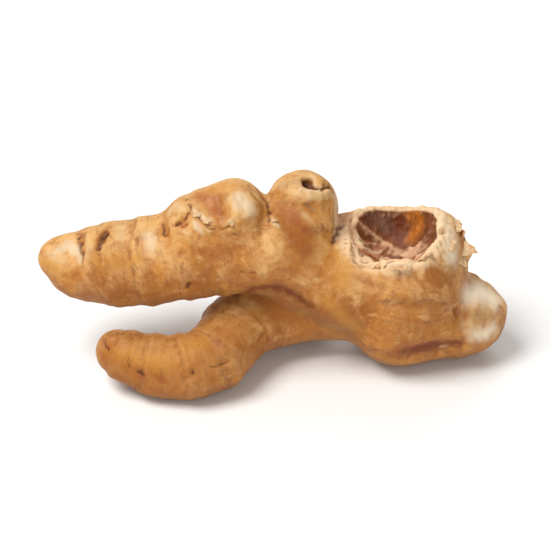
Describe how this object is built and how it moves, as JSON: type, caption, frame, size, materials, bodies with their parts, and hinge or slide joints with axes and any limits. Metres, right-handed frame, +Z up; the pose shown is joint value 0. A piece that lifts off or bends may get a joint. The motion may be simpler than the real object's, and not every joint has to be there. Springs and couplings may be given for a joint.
{
  "type": "ginger root",
  "caption": "Whole ginger rhizome lying on a flat surface: stout main lobe with a hollow break, knobbed upper finger, curved lower finger and short buds.",
  "frame": {"origin": "middle of the bounding box's base, on the surface the root lies on", "axes": "+X along the root from the finger tips to the main lobe, +Y away from the side the picture shows, +Z up"},
  "size_m": [0.1251, 0.0507, 0.0531],
  "materials": {
    "ginger_skin": "dry, matt tan skin with darker rings, eyes and scars"
  },
  "bodies": {
    "root": {"rhizome": "ginger_skin"}
  },
  "joints": []
}
